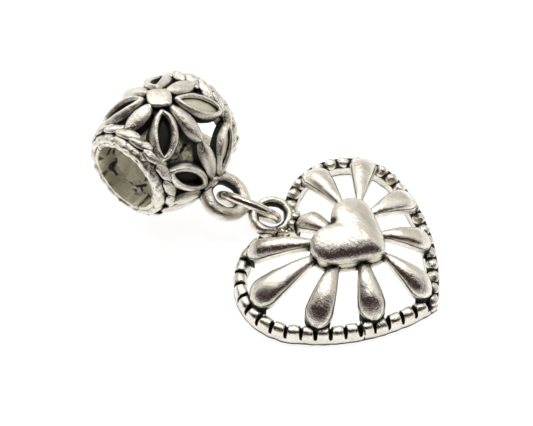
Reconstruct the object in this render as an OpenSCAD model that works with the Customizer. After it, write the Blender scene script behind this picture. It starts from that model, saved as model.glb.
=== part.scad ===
// Heart pendant: a domed openwork heart that hangs by a jump ring from an openwork bail bead.
// It lies face up, +X from the bead to the heart's tip, +Y across the heart, floor at z = 0.

/* [Heart rim] */
// Radius of each lobe, to the middle of the rim
lobe_r = 4.06; // [3.9:0.02:4.12]
// How far each lobe's centre lies from the heart's axis
lobe_side = 3.31; // [3.25:0.01:3.4]
// How far the lobe centres lie behind the heart's middle
lobe_back = 2.09; // [2:0.01:2.14]
// Radius of the slow curve from a lobe to the tip
flank_r = 13.2; // [12.6:0.1:14]
// Tip of the heart, to the middle of the rim
tip_reach = 6.44; // [6.3:0.02:6.6]
// Depth of the cleft, to the middle of the rim
cleft_back = 4.6; // [4.55:0.01:4.75]
// Width of the rim band
rim_w = 0.93; // [0.85:0.01:0.97]
// Height of the plain wall under the beading
rim_h = 0.9; // [0.8:0.02:0.96]
// Diameter of one bead of the rim
rim_bead_d = 0.92; // [0.84:0.01:0.94]
// Beads on the side toward +Y, without the one on the tip
far_beads = 22; // [20:1:22]
// Beads on the side toward -Y
near_beads = 21; // [19:1:22]

/* [Petals] */
// Width of the petals, as a share of the usual widths
petal_swell = 1; // [0.9:0.02:1.04]
// Thickness of the petals' straight sides
petal_side = 0.55; // [0.4:0.05:0.6]
// Rise of the petals' domed top
petal_dome = 0.6; // [0.4:0.02:0.7]
// Underside of the petals at the rim
petal_low = 1.15; // [1.05:0.05:1.25]
// Length of the foot that each petal stands on
petal_foot = 0.55; // [0.4:0.05:0.65]
// How far the feet sink into the rim
petal_sink = 0.06; // [0.04:0.02:0.12]
// How far the petals' undersides lie over the middle heart's
petal_lift = 0.06; // [0.04:0.02:0.16]
// How far the petals reach into the middle heart
petal_root = 0.5; // [0.4:0.05:0.6]

/* [Middle heart] */
// Radius of a lobe of the middle heart
mid_lobe_r = 1.43; // [1.35:0.02:1.49]
// How far its lobe centres lie from the axis
mid_lobe_side = 1.4; // [1.34:0.02:1.46]
// How far its lobe centres lie behind the heart's middle
mid_lobe_back = 0.78; // [0.7:0.02:0.82]
// Radius of its flanks
mid_flank_r = 12.6; // [10:0.2:15]
// Reach of its tip
mid_tip = 2.82; // [2.7:0.02:2.9]
// Depth of its cleft
mid_cleft = 1.68; // [1.64:0.02:1.8]
// Underside of the middle heart
mid_low = 2.55; // [2.4:0.05:2.7]
// Height of its puffed part's edge
mid_edge = 3.85; // [3.7:0.05:4]
// Rise of its puffed top over the edge
mid_puff = 0.95; // [0.8:0.05:1.2]

/* [Loops and ring] */
// Radius of the heart's loop, to the middle of its wire
heart_loop_r = 1.26; // [1.24:0.01:1.3]
// Half the width of the heart's loop, across its band
heart_loop_wire = 0.345; // [0.3:0.005:0.35]
// Half the height of the heart's loop
heart_loop_half = 0.42; // [0.38:0.01:0.44]
// Distance of the heart's loop from the heart's middle
heart_loop_back = 6.33; // [6.3:0.01:6.36]
// Height of the heart's loop over the floor
heart_loop_z = 1.2; // [1.18:0.01:1.24]
// Radius of the jump ring, to the middle of its wire
ring_r = 2.09; // [2.07:0.01:2.12]
// Wire radius of the jump ring
ring_wire = 0.33; // [0.3:0.01:0.34]
// Lean of the jump ring from upright
ring_lean = 23.6; // [22:0.2:25]
// Radius of the bead's loop, to the middle of its wire
bead_loop_r = 1.43; // [1.41:0.01:1.46]
// Wire radius of the bead's loop
bead_loop_wire = 0.51; // [0.47:0.01:0.53]

/* [Bail bead] */
// Diameter of the bead at its middle
bead_d = 8.82; // [8.7:0.02:8.9]
// Length of the bead over its mouth rings
bead_l = 8.52; // [8.4:0.02:8.6]
// Diameter of the hole through the mouth rings
hole_d = 5; // [4.8:0.1:5]
// Diameter of the bead's round-off at the mouth rings
neck_d = 6.6; // [6.4:0.05:6.7]
// Wall of the openwork
cage_wall = 0.75; // [0.65:0.05:0.85]
// Lobes round each mouth ring
mouth_lobes = 17; // [15:1:19]
// Width of a hollow petal of a flower
hollow_w = 2; // [1.85:0.05:2.05]
// Width of the slot in it
slot_w = 0.9; // [0.7:0.05:1]
// How far the near mouth is tipped up
bead_tip = 5.9; // [5.5:0.1:6.3]

/* [Hidden] */
silver = "#c9c6c0";
// The heart's middle, so that the whole thing is centred on the origin
heart_x = 6.13;
// Outline of a heart: lobe radius, its centre, flank radius, tip and cleft
RIM = [lobe_r, -lobe_back, lobe_side, flank_r, tip_reach, -cleft_back];
MID = [mid_lobe_r, -mid_lobe_back, mid_lobe_side, mid_flank_r, mid_tip, -mid_cleft];
// Petals: x and y of the outer end, x and y of the inner end, width, share of it at the inner end
PETALS = [
    [-5.85, 4.26, -2.18, 2.27, 1.96, 0.21],
    [-3.08, 7.16, -1.06, 2.85, 1.84, 0.13],
    [1.53, 6.18, -0.02, 2.62, 2.00, 0.21],
    [4.29, 3.59, 1.47, 1.56, 1.76, 0.30],
    [6.31, -0.11, 2.65, 0.24, 1.88, 0.26],
    [4.05, -3.74, 1.66, -1.18, 1.92, 0.38],
    [0.91, -6.29, 0.00, -2.13, 1.97, 0.34],
    [-3.69, -6.89, -1.22, -1.84, 2.21, 0.10],
    [-6.04, -3.71, -2.22, -1.50, 1.68, 0.38],
    [-4.43, 0.54, -1.14, -0.07, 1.76, 0.28],
];
// Grains at the root of the heart's loop: x, y, height, radius
GRAINS = [
    [-5.21, 0.93, 1.15, 0.36],
    [-5.04, -0.31, 1.20, 0.36],
    [-5.01, -0.89, 1.30, 0.34],
    [-4.81, 0.66, 1.40, 0.36],
    [-4.68, 0.01, 1.40, 0.36],
    [-5.56, -1.05, 1.10, 0.32],
];
// Centre of the bead, its turn on the floor
bead_x = heart_x - 14.68;
bead_y = -0.54;
bead_z = 4.47;
bead_yaw = -8.8;
// Centre of the bead's loop, its lean about X and about Y
LOOP_PLACE = [heart_x - 9.5, -1.09, 2.62];
LOOP_LEAN = [-12, 23.3];
// Angle round the bead of the loop's root, and its distance from the bead's middle
ROOT = [-19, 0.5];
// Angles round the bead of the flowers' middles; the last one is at the loop
FLOWERS = [99.5, 222, -15.5];
// Mouth rings: end of the bead, radius to the middle of the rope, half its thickness
MOUTHS = [[1, 2.95, 0.37], [-1, 2.88, 0.3]];
// Round-off of the bead along its length
neck_s = bead_l / 2 - 0.5;
neck_drop = (bead_d - neck_d) / 2;
bead_arc = (neck_s * neck_s + neck_drop * neck_drop) / (2 * neck_drop);

// Centre of the flank's arc: it touches the lobe from inside and passes the tip
function flank_centre(h) =
    let (to_tip = [h[4] - h[1], -h[2]])
    let (d = norm(to_tip))
    let (a = (pow(h[3] - h[0], 2) - pow(h[3], 2) + d * d) / (2 * d))
    let (off = sqrt(pow(h[3] - h[0], 2) - a * a))
    [h[1], h[2]] + a / d * to_tip + off / d * [to_tip[1], -to_tip[0]];
// Polar angles where the arcs begin and end, for an outline moved out by grow
function tip_angle(h, grow) = asin(-flank_centre(h)[1] / (h[3] + grow));
function join_angle(h) = let (c = flank_centre(h)) atan2(h[2] - c[1], h[1] - c[0]);
function cleft_angle(h) =
    let (away = [h[5] - h[1], -h[2]])
    360 + atan2(away[1], away[0]) - acos(h[0] / norm(away));
function polar(c, r, a) = c + r * [cos(a), sin(a)];
function cleft_point(h, grow) =
    let (a = cleft_angle(h))
    let (p = polar([h[1], h[2]], h[0] + grow, a))
    [p[0] + p[1] * tan(a), 0];
// One side of the outline, from the tip to just before the cleft
function half_heart(h, grow, steps) =
    let (c = flank_centre(h), a0 = tip_angle(h, grow), a1 = join_angle(h), a2 = cleft_angle(h))
    concat(
        [for (i = [0:steps]) polar(c, h[3] + grow, a0 + (a1 - a0) * i / steps)],
        [for (i = [1:steps]) polar([h[1], h[2]], h[0] + grow, a1 + (a2 - a1) * i / steps)]
    );
// The whole closed outline
function heart_outline(h, grow, steps) =
    let (half = half_heart(h, grow, steps))
    concat(
        half,
        [cleft_point(h, grow)],
        [for (i = [len(half) - 1:-1:1]) [half[i][0], -half[i][1]]]
    );
// Length of one side along the outline, and the point at a length from the tip
function arc_length(r, a) = r * a * PI / 180;
function side_lengths(h) =
    let (a0 = tip_angle(h, 0), a1 = join_angle(h), a2 = cleft_angle(h))
    [arc_length(h[3], a1 - a0), arc_length(h[0], a2 - a1),
     norm(polar([h[1], h[2]], h[0], a2) - cleft_point(h, 0))];
function along_side(h, s) =
    let (part = side_lengths(h), p = polar([h[1], h[2]], h[0], cleft_angle(h)))
    s < part[0]
        ? polar(flank_centre(h), h[3], tip_angle(h, 0) + s / h[3] * 180 / PI)
        : s < part[0] + part[1]
            ? polar([h[1], h[2]], h[0], join_angle(h) + (s - part[0]) / h[0] * 180 / PI)
            : p + (cleft_point(h, 0) - p) * (s - part[0] - part[1]) / part[2];

// Faces of a body lofted through rings of n points, closed at both ends
function loft_faces(rings, n) = concat(
    [[for (j = [0:n - 1]) j]],
    [for (i = [0:rings - 2]) for (j = [0:n - 1])
        [i * n + (j + 1) % n, i * n + j, (i + 1) * n + j, (i + 1) * n + (j + 1) % n]],
    [[for (j = [n - 1:-1:0]) (rings - 1) * n + j]]
);
// Faces of a closed hoop of rings
function hoop_faces(rings, n) = [for (i = [0:rings - 1]) for (j = [0:n - 1])
    [i * n + (j + 1) % n, i * n + j, ((i + 1) % rings) * n + j, ((i + 1) % rings) * n + (j + 1) % n]];
// The same faces turned to look the other way
function turned(faces) = [for (f = faces) [f[3], f[2], f[1], f[0]]];

// A cast bead with ten sides, cut off below the given angle
BALL_LEVELS = [-75, -40, -5, 30, 62];
module ball(r, low) {
    levels = [for (b = BALL_LEVELS) if (b >= low) b];
    points = [for (b = levels, k = [0:9]) r * [cos(b) * cos(36 * k), cos(b) * sin(36 * k), sin(b)]];
    polyhedron(points, loft_faces(len(levels), 10));
}

// The beaded rim
module rim() {
    half = side_lengths(RIM)[0] + side_lengths(RIM)[1] + side_lengths(RIM)[2];
    linear_extrude(rim_h) difference() {
        polygon(heart_outline(RIM, rim_w / 2, 12));
        polygon(heart_outline(RIM, -rim_w / 2, 12));
    }
    translate([tip_reach, 0, rim_h]) ball(rim_bead_d / 2, -40);
    for (side = [[1, far_beads], [-1, near_beads]]) {
        for (k = [1:side[1]]) {
            p = along_side(RIM, k * half / (side[1] + 1));
            translate([p[0], side[0] * p[1], rim_h]) ball(rim_bead_d / 2, -40);
        }
    }
}

// Share of a petal's full width at t, from the blunt outer end to the inner end
function petal_share(t, nose, taper) = t < nose
    ? pow(max(0.05, 1 - pow(1 - t / nose, 2)), 0.45)
    : max(taper, 1 - (1 - taper) * pow((t - nose) / (1 - nose), 1.15));
// Lengths of a petal's sections: as shares of its foot, and of the rest of it
FOOT_STEPS = [0, 0.1, 0.3, 0.6, 1];
ARCH_STEPS = [0, 0.1, 0.24, 0.42, 0.68, 1];
PETAL_ARC = [0, 25, 55, 90, 125, 155, 180];
// One petal of a row of the table: a foot, straight sides, arched underside, domed top
module petal(row) {
    start = [row[0], row[1]];
    l = norm([row[2] - row[0], row[3] - row[1]]);
    ahead = [row[2] - row[0], row[3] - row[1]] / l;
    half_w = petal_swell * row[4] / 2;
    foot = petal_foot / l;
    high = mid_low + petal_lift;
    steps = concat(
        [for (q = FOOT_STEPS) q * foot],
        [for (q = ARCH_STEPS) foot + 0.04 + (0.96 - foot) * q],
        [1 + petal_root / l]
    );
    n = len(PETAL_ARC) + 2;
    points = [for (t = steps)
        let (share = petal_share(t, half_w / l, row[5]))
        let (arch = high + (petal_low - high) * pow(1 - t, 2))
        let (low = t > foot ? arch : rim_h - petal_sink)
        let (rise = petal_dome * pow(share, 1.2))
        let (mid = start + l * t * ahead)
        let (across = half_w * share * [ahead[1], -ahead[0]])
        each concat(
            [[mid[0] - across[0], mid[1] - across[1], low]],
            [for (a = PETAL_ARC)
                let (p = mid - cos(a) * across)
                [p[0], p[1], arch + petal_side + rise * sin(a)]],
            [[mid[0] + across[0], mid[1] + across[1], low]]
        )];
    polyhedron(points, loft_faces(len(steps), n), convexity = 4);
}

module petals() {
    for (row = PETALS) petal(row);
}

// The puffed heart in the middle, with the lip and the groove under its edge
module middle_heart() {
    outline = heart_outline(MID, 0, 7);
    n = len(outline);
    // Share of the outline and height, from the underside up
    foot = [[0.95, mid_low], [1, mid_low + 0.12], [1, mid_low + 0.4], [0.9, mid_low + 0.62],
            [0.92, mid_edge - 0.25], [1, mid_edge - 0.08]];
    levels = concat(foot, [for (a = [5, 22, 40, 58, 74, 86]) [cos(a), mid_edge + mid_puff * sin(a)]]);
    points = [for (v = levels, p = outline) [p[0] * v[0] + 0.25 * (1 - v[0]), p[1] * v[0], v[1]]];
    polyhedron(points, loft_faces(len(levels), n), convexity = 6);
}

// The loop in the cleft, with the grains that seat it
module heart_loop() {
    translate([-heart_loop_back, -0.05, heart_loop_z]) rotate_extrude($fn = 48)
        polygon([for (a = [0:24:336]) [heart_loop_r + heart_loop_wire * cos(a), heart_loop_half * sin(a)]]);
    for (g = GRAINS) translate([g[0], g[1], g[2]]) ball(g[3], -75);
}

module heart_pendant() {
    color(silver) translate([heart_x, 0, 0]) {
        rim();
        petals();
        middle_heart();
        heart_loop();
    }
}

module jump_ring() {
    color("#dad8d2")
        translate([heart_x - 7.71, -0.8, ring_wire + ring_r * cos(ring_lean)])
        rotate([0, 0, 7.4])
        rotate([ring_lean - 90, 0, 0])
        rotate_extrude($fn = 48) translate([ring_r, 0]) circle(ring_wire, $fn = 20);
}

// Radius of the bead at s along its axis, from its middle toward the near mouth
function bead_r(s) = bead_d / 2 - bead_arc + sqrt(bead_arc * bead_arc - s * s);
// Point of a flower: u round the bead and s along it from the flower's middle, lift over the bead
function on_bead(at, u, s, lift) =
    let (a = at + 360 * u / (PI * bead_d), r = bead_r(s) + lift)
    [r * cos(a), -s, r * sin(a)];

// Outline of a leaf pointed at both ends, length 2, width 2
function leaf_edge(t) = [cos(t), (sin(t) < 0 ? -1 : 1) * pow(abs(sin(t)), 1.4)];
// Section of a hollow petal from the slot out: share of the way, lift
HOLLOW_SECTION = [[-0.3, -cage_wall], [0, -0.1], [0.3, 0.1], [0.62, 0.02], [1, -0.28], [1.35, -cage_wall]];
// Hollow petal from one corner of a flower's block toward a mouth
module hollow_petal(at, side, end) {
    mid = [side * 2.4, end * 1.85];
    ahead = [side * 0.79, end * 0.613];
    across = [-ahead[1], ahead[0]] * side * end;
    n = len(HOLLOW_SECTION);
    rings = 20;
    points = [for (k = [0:rings - 1])
        let (e = leaf_edge(360 * k / rings))
        let (slot = [e[0] * 1.48, e[1] * slot_w / 2], edge = [e[0] * 2.12, e[1] * hollow_w / 2])
        for (q = HOLLOW_SECTION)
            let (w = slot + (edge - slot) * q[0])
            let (p = mid + w[0] * ahead + w[1] * across)
            on_bead(at, p[0], p[1], q[1])];
    polyhedron(points, side * end > 0 ? hoop_faces(rings, n) : turned(hoop_faces(rings, n)), convexity = 6);
}

// Section of a solid leaf: share of its half width, lift
LEAF_SECTION = [
    [1.4, -cage_wall], [1, -0.25], [0.6, 0.02], [0, 0.1], [-0.6, 0.02], [-1, -0.25], [-1.4, -cage_wall]
];
LEAF_STEPS = [[0, 0.45], [0.2, 0.8], [0.45, 1], [0.7, 0.92], [0.88, 0.65], [1, 0.3]];
// Solid leaf of a flower from one point to another
module leaf(at, u0, s0, u1, s1, w) {
    l = norm([u1 - u0, s1 - s0]);
    ahead = [u1 - u0, s1 - s0] / l;
    across = [-ahead[1], ahead[0]];
    points = [for (v = LEAF_STEPS, q = LEAF_SECTION)
        let (p = [u0, s0] + l * v[0] * ahead + q[0] * v[1] * w / 2 * across)
        on_bead(at, p[0], p[1], q[1] - 0.15 * (1 - v[1]))];
    polyhedron(points, loft_faces(len(LEAF_STEPS), len(LEAF_SECTION)), convexity = 4);
}

// Outline of a flower's block: square with cut corners, its corners round and along the bead
BLOCK_EDGE = [[1, 0.2], [0.2, 1], [-0.2, 1], [-1, 0.2], [-1, -0.2], [-0.2, -1], [0.2, -1], [1, -0.2]];
// Plate under the middle of a flower, and the block on it
module hub(at) {
    plate = [for (level = [-cage_wall, -0.3], a = [0:22.5:359])
        on_bead(at, 1.45 * cos(a), 1.25 * sin(a), level)];
    polyhedron(plate, loft_faces(2, 16), convexity = 4);
    block = [for (q = [[1, -0.5], [1, 0], [0.8, 0.16]], a = BLOCK_EDGE)
        on_bead(at, 0.94 * q[0] * a[0], 0.8 * q[0] * a[1], q[1])];
    polyhedron(block, loft_faces(3, 8), convexity = 4);
}

module flower(at) {
    hub(at);
    for (side = [1, -1]) {
        for (end = [1, -1]) hollow_petal(at, side, end);
        leaf(at, side * 1.1, 0, side * 4.5, 0, 1.05);
        leaf(at, 0, side * 0.85, side * 0.45, side * (neck_s - 0.6), 1.25);
    }
}

// Mouth ring with slanting lobes, on the collar that the flowers end on
module mouth(row) {
    end = row[0];
    rings = 4 * mouth_lobes;
    points = [for (k = [0:rings - 1], j = [0:7])
        let (a = 360 * k / rings, b = 45 * j)
        let (swell = 0.72 + 0.28 * pow(abs(cos(45 * k + 55 * sin(b))), 0.7))
        let (r = row[1] + row[2] * swell * cos(b), s = bead_l / 2 - 0.62 + 0.6 * swell * sin(b))
        [r * cos(a), -end * s, r * sin(a)]];
    polyhedron(points, end > 0 ? turned(hoop_faces(rings, 8)) : hoop_faces(rings, 8), convexity = 6);
    rotate([90 * end, 0, 0]) rotate_extrude($fn = 64) polygon([
        [hole_d / 2, neck_s - 1], [neck_d / 2, neck_s - 1], [neck_d / 2 - 0.25, neck_s - 0.1],
        [row[1] - 0.18, bead_l / 2 - 0.1], [hole_d / 2, bead_l / 2 - 0.1]
    ]);
}

// The side loop
module bead_loop() {
    translate(LOOP_PLACE) rotate([LOOP_LEAN[0], LOOP_LEAN[1], 0])
        rotate_extrude($fn = 48) translate([bead_loop_r, 0]) circle(bead_loop_wire, $fn = 20);
}

module bail_bead() {
    color(silver) {
        translate([bead_x, bead_y, bead_z]) rotate([0, 0, bead_yaw]) rotate([-bead_tip, 0, 0]) {
            for (at = FLOWERS) flower(at);
            for (row = MOUTHS) mouth(row);
            // The swell at the loop's root
            rotate([0, -ROOT[0], 0]) translate([bead_d / 2 - 0.45, ROOT[1], 0]) sphere(0.62, $fn = 24);
        }
        bead_loop();
    }
}

heart_pendant();
jump_ring();
bail_bead();
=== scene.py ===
import math
from itertools import repeat

import bmesh
import bpy
from bpy.props import FloatProperty, FloatVectorProperty, IntProperty, PointerProperty
from mathutils import Matrix, Vector, noise
from mathutils.bvhtree import BVHTree


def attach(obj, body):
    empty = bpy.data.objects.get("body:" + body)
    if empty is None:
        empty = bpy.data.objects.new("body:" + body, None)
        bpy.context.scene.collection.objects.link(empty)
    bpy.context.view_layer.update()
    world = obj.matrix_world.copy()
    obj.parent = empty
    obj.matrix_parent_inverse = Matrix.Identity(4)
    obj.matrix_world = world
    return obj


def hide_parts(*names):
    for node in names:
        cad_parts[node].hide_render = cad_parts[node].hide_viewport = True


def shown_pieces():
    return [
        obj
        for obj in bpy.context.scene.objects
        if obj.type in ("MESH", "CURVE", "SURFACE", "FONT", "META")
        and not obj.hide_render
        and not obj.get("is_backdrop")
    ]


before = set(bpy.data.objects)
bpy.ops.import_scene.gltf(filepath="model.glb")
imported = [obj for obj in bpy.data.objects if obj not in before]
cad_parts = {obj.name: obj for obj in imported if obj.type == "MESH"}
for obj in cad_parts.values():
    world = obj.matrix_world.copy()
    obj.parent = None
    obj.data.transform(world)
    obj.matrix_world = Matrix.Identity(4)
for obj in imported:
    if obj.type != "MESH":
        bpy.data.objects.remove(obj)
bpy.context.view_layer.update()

bl_info = {
    "name": "Heart Pendant",
    "version": (1, 0, 0),
    "blender": (4, 5, 0),
    "location": "View3D > Sidebar > Pendant",
    "description": "Models a cast heart pendant, its jump ring and its openwork bail bead",
    "category": "Add Mesh",
}

MM = 0.001
FULL_TURN = 2 * math.pi
# Middle of the heart on the CAD frame's X axis
HEART_X = 6.13
# Petals of the heart: outer end, inner end, width, share of it at the inner end
PETALS = [
    ((-5.85, 4.26), (-2.18, 2.27), 1.96, 0.21),
    ((-3.08, 7.16), (-1.06, 2.85), 1.84, 0.13),
    ((1.53, 6.18), (-0.02, 2.62), 2.0, 0.21),
    ((4.29, 3.59), (1.47, 1.56), 1.76, 0.3),
    ((6.31, -0.11), (2.65, 0.24), 1.88, 0.26),
    ((4.05, -3.74), (1.66, -1.18), 1.92, 0.38),
    ((0.91, -6.29), (0, -2.13), 1.97, 0.34),
    ((-3.69, -6.89), (-1.22, -1.84), 2.21, 0.1),
    ((-6.04, -3.71), (-2.22, -1.5), 1.68, 0.38),
    ((-4.43, 0.54), (-1.14, -0.07), 1.76, 0.28),
]
# Grains at the root of the heart's loop: place, radius
GRAINS = [
    ((-5.21, 0.93, 1.15), 0.36),
    ((-5.04, -0.31, 1.2), 0.36),
    ((-5.01, -0.89, 1.3), 0.34),
    ((-4.81, 0.66, 1.4), 0.36),
    ((-4.68, 0.01, 1.4), 0.36),
    ((-5.56, -1.05, 1.1), 0.32),
]
# Angles round the bead of its flowers, the last one at the loop
FLOWERS = (99.5, 222, -15.5)
# Lean of the jump ring from upright and its turn on the floor, in degrees
RING_LEAN, RING_TURN = 23.6, 7.4
# Place of the bead: its middle, its turn on the floor and how it tips
BEAD_PLACE = (
    Matrix.Translation((HEART_X - 14.68, -0.54, 4.47))
    @ Matrix.Rotation(math.radians(-8.8), 4, "Z")
    @ Matrix.Rotation(math.radians(-5.9), 4, "X")
)
# Half lengths of a hollow petal and of its slot
PETAL_REACH, SLOT_REACH = 2.12, 1.48
# Pieces that can be seen from inside the bead
BEAD_PIECES = ("hollow_petals", "slot_floors", "solid_leaves", "flower_blocks", "bead_lining", "mouth_rings")
# Place of the bead's loop: its middle and how it leans
BEAD_LOOP_PLACE = (
    Matrix.Translation((HEART_X - 9.5, -1.09, 2.62))
    @ Matrix.Rotation(math.radians(23.3), 4, "Y")
    @ Matrix.Rotation(math.radians(-12), 4, "X")
)
# Height of the floor for the crevices, a little under the pieces: it closes in the metal near it, which gets painted
# shade there
FLOOR_LEVEL = -0.03
# Level way to the front, where the room is dark
FRONT = (0.35, -0.937, 0)
# Floor point that the camera looks at, and the way from it to the camera
LOOK_AT = Vector((HEART_X - 7.177, 0.669, 0))
TO_CAMERA = Vector((0.283, -0.460, 0.8415)).normalized()
# Lamps: name, place and size in metres, power
LAMPS = (
    ("key_light", (-0.04, 0.07, 0.32), 0.16, 0.2),
    ("fill_light", (-0.24, 0.12, 0.2), 0.2, 0.2),
)
# Sockets of the Mix node: its two colours and the mixed one
FIRST_COLOUR, SECOND_COLOUR, MIXED_COLOUR = 6, 7, 2


def lerp(a, b, t):
    return a + (b - a) * t


def ease(t):
    """From 0 to 1 with soft ends."""
    t = min(max(t, 0), 1)
    return t * t * (3 - 2 * t)


def jitter(x, y=0):
    """A number from -1 to 1 that is always the same for the same x and y."""
    return noise.noise(Vector((x, y, 0)))


class HeartCurve:
    """Outline of a heart with its tip toward +X: two lobe arcs and two slow flank arcs."""

    def __init__(self, lobe_r, lobe_back, lobe_side, flank_r, tip, cleft):
        self.lobe_r, self.flank_r = lobe_r, flank_r
        self.lobe = Vector((-lobe_back, lobe_side))
        to_tip = Vector((tip + lobe_back, -lobe_side))
        d = to_tip.length
        along = ((flank_r - lobe_r) ** 2 - flank_r**2 + d * d) / (2 * d)
        off = math.sqrt((flank_r - lobe_r) ** 2 - along**2)
        self.flank = self.lobe + to_tip * along / d + Vector((to_tip.y, -to_tip.x)) * off / d
        toward = self.lobe - self.flank
        self.start = math.asin(-self.flank.y / flank_r)
        self.join = math.atan2(toward.y, toward.x)
        away = Vector((lobe_back - cleft, -lobe_side))
        self.end = FULL_TURN + math.atan2(away.y, away.x) - math.acos(lobe_r / away.length)
        self.last = self.lobe + lobe_r * Vector((math.cos(self.end), math.sin(self.end)))
        self.cleft = Vector((self.last.x + self.last.y * math.tan(self.end), 0))
        self.flank_length = flank_r * (self.join - self.start)
        self.lobe_length = lobe_r * (self.end - self.join)
        self.length = self.flank_length + self.lobe_length + (self.cleft - self.last).length

    def along(self, s):
        """Point of one side at a length from the tip, and the direction of travel there."""
        if s < self.flank_length:
            a = self.start + max(s, 0) / self.flank_r
            way = Vector((-math.sin(a), math.cos(a)))
            return self.flank + self.flank_r * Vector((math.cos(a), math.sin(a))) + way * min(s, 0), way
        if s < self.flank_length + self.lobe_length:
            a = self.join + (s - self.flank_length) / self.lobe_r
            way = Vector((-math.sin(a), math.cos(a)))
            return self.lobe + self.lobe_r * Vector((math.cos(a), math.sin(a))), way
        way = (self.cleft - self.last).normalized()
        return self.last + way * (s - self.flank_length - self.lobe_length), way

    def outline(self, steps, rounding=0):
        """The whole outline, with its points evenly spaced on each side and its tip rounded."""
        side = [self.along(self.length * i / steps)[0] for i in range(steps + 1)]
        points = side + [Vector((p.x, -p.y)) for p in side[-2:0:-1]]
        for _ in range(rounding):
            soft = [(a + b + b + c) / 4 for a, b, c in zip(points[-1:] + points, points, points[1:] + points[:1])]
            points = [b if b.x > 1 else a for a, b in zip(points, soft)]
        return points


RIM = HeartCurve(lobe_r=4.06, lobe_back=2.09, lobe_side=3.31, flank_r=13.2, tip=6.44, cleft=4.6)
MIDDLE = HeartCurve(lobe_r=1.43, lobe_back=0.78, lobe_side=1.4, flank_r=12.6, tip=2.82, cleft=1.68)


def walk(verts):
    """The points of one closed ring, each beside the next."""
    ring = [verts[0]]
    while len(ring) < len(verts):
        beside = [e.other_vert(ring[-1]) for e in ring[-1].link_edges]
        ring.append(next(v for v in beside if v not in ring[-2:]))
    return ring


def turn_outward(bm, verts):
    """Makes the faces of one closed shell look outward."""
    faces = list({face for v in verts for face in v.link_faces})
    bmesh.ops.recalc_face_normals(bm, faces=faces)
    volume = 0.0
    for face in faces:
        face.normal_update()
        volume += face.calc_center_median().dot(face.normal) * face.calc_area()
    if volume < 0:
        bmesh.ops.reverse_faces(bm, faces=faces)


def loft(bm, sections, closed=False):
    """Skin through sections of equally many points. The first is a circle that is moved into place, and each
    later one is extruded from the one before. Returns the points, ring by ring."""
    if closed:
        sections = sections + sections[:1]
    ring = walk(bmesh.ops.create_circle(bm, segments=len(sections[0]), radius=1)["verts"])
    rings = [ring]
    for _ in sections[1:]:
        edges = [bm.edges.get(pair) for pair in zip(ring, ring[1:] + ring[:1])]
        made = bmesh.ops.extrude_edge_only(bm, edges=edges)["geom"]
        new = {v for v in made if isinstance(v, bmesh.types.BMVert)}
        ring = [next(e.other_vert(v) for e in v.link_edges if e.other_vert(v) in new) for v in ring]
        rings.append(ring)
    for ring, section in zip(rings, sections):
        for v, p in zip(ring, section):
            v.co = p
    if closed:
        bmesh.ops.weld_verts(bm, targetmap=dict(zip(rings.pop(), rings[0])))
    else:
        for ring in (rings[0], rings[-1]):
            bmesh.ops.contextual_create(bm, geom=[bm.edges.get(pair) for pair in zip(ring, ring[1:] + ring[:1])])
    turn_outward(bm, [v for ring in rings for v in ring])
    return rings


def new_mesh():
    """An empty bmesh whose points can be marked dark: patina in grooves, and painted shade in shaded places."""
    bm = bmesh.new()
    return bm, bm.verts.layers.float.new("groove")


def mark(rings, groove, marks):
    """Writes each ring's groove values, one to a point."""
    for ring, values in zip(rings, marks):
        for v, value in zip(ring, values):
            v[groove] = value


def turns(steps):
    """The angles of even steps round a circle."""
    return [FULL_TURN * k / steps for k in range(steps)]


def torus(bm, place, radius, wire, groove=None, half=None, steps=72, sides=20):
    """A ring of wire: one circle spun about the axis. Its inner side can be marked as a groove, and half is half
    its height where that differs from half its width."""
    before = set(bm.verts)
    matrix = (
        Matrix.Translation((radius, 0, 0))
        @ Matrix.Rotation(math.pi / 2, 4, "X")
        @ Matrix.Diagonal((wire, half or wire, 1, 1))
    )
    verts = bmesh.ops.create_circle(bm, segments=sides, radius=1, matrix=matrix)["verts"]
    edges = list({e for v in verts for e in v.link_edges})
    bmesh.ops.spin(
        bm, geom=verts + edges, cent=(0, 0, 0), axis=(0, 0, 1), angle=FULL_TURN, steps=steps, use_merge=True)
    made = [v for v in bm.verts if v not in before]
    if groove:
        for v in made:
            v[groove] = 0.8 * ease((radius - 0.35 * wire - v.co.xy.length) / (0.5 * wire))
    bmesh.ops.transform(bm, matrix=place, verts=made)
    turn_outward(bm, made)


def unevenness(bm, amount, size, seed):
    """Moves the points in and out a little, as in worn castings."""
    bm.normal_update()
    for v in bm.verts:
        v.co += v.normal * amount * noise.noise(v.co / size + Vector((seed, 0, 0)))


def add_object(name, data):
    thing = bpy.data.objects.new(name, data)
    bpy.context.scene.collection.objects.link(thing)
    return thing


def finish_piece(name, node, bm, matrix=Matrix.Identity(4), sharp=50):
    """Makes the finished piece from a bmesh in millimetres, and lets it stand for its CAD node."""
    bmesh.ops.transform(bm, matrix=Matrix.Scale(MM, 4) @ matrix, verts=bm.verts)
    mesh = bpy.data.meshes.new(name)
    bm.to_mesh(mesh)
    bm.free()
    mesh.shade_smooth()
    mesh.set_sharp_from_angle(angle=math.radians(sharp))
    piece = add_object(name, mesh)
    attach(piece, "root")
    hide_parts(node)
    return piece


AT_HEART = Matrix.Translation((HEART_X, 0, 0))
# Section of the rim under the far beads, as across outward and height
LOW_RIM = [(0.94, 0), (1, 0.05), (1, 0.3), (1, 0.6), (1, 0.72), (0.98, 0.82), (0.93, 0.88), (0.84, 0.92),
           (0.6, 0.95), (0.25, 0.96), (-0.25, 0.96), (-0.6, 0.95), (-0.84, 0.92), (-0.93, 0.88), (-0.98, 0.82),
           (-1, 0.7), (-1, 0.45), (-1, 0.25), (-1, 0.05), (-0.94, 0)]
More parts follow.
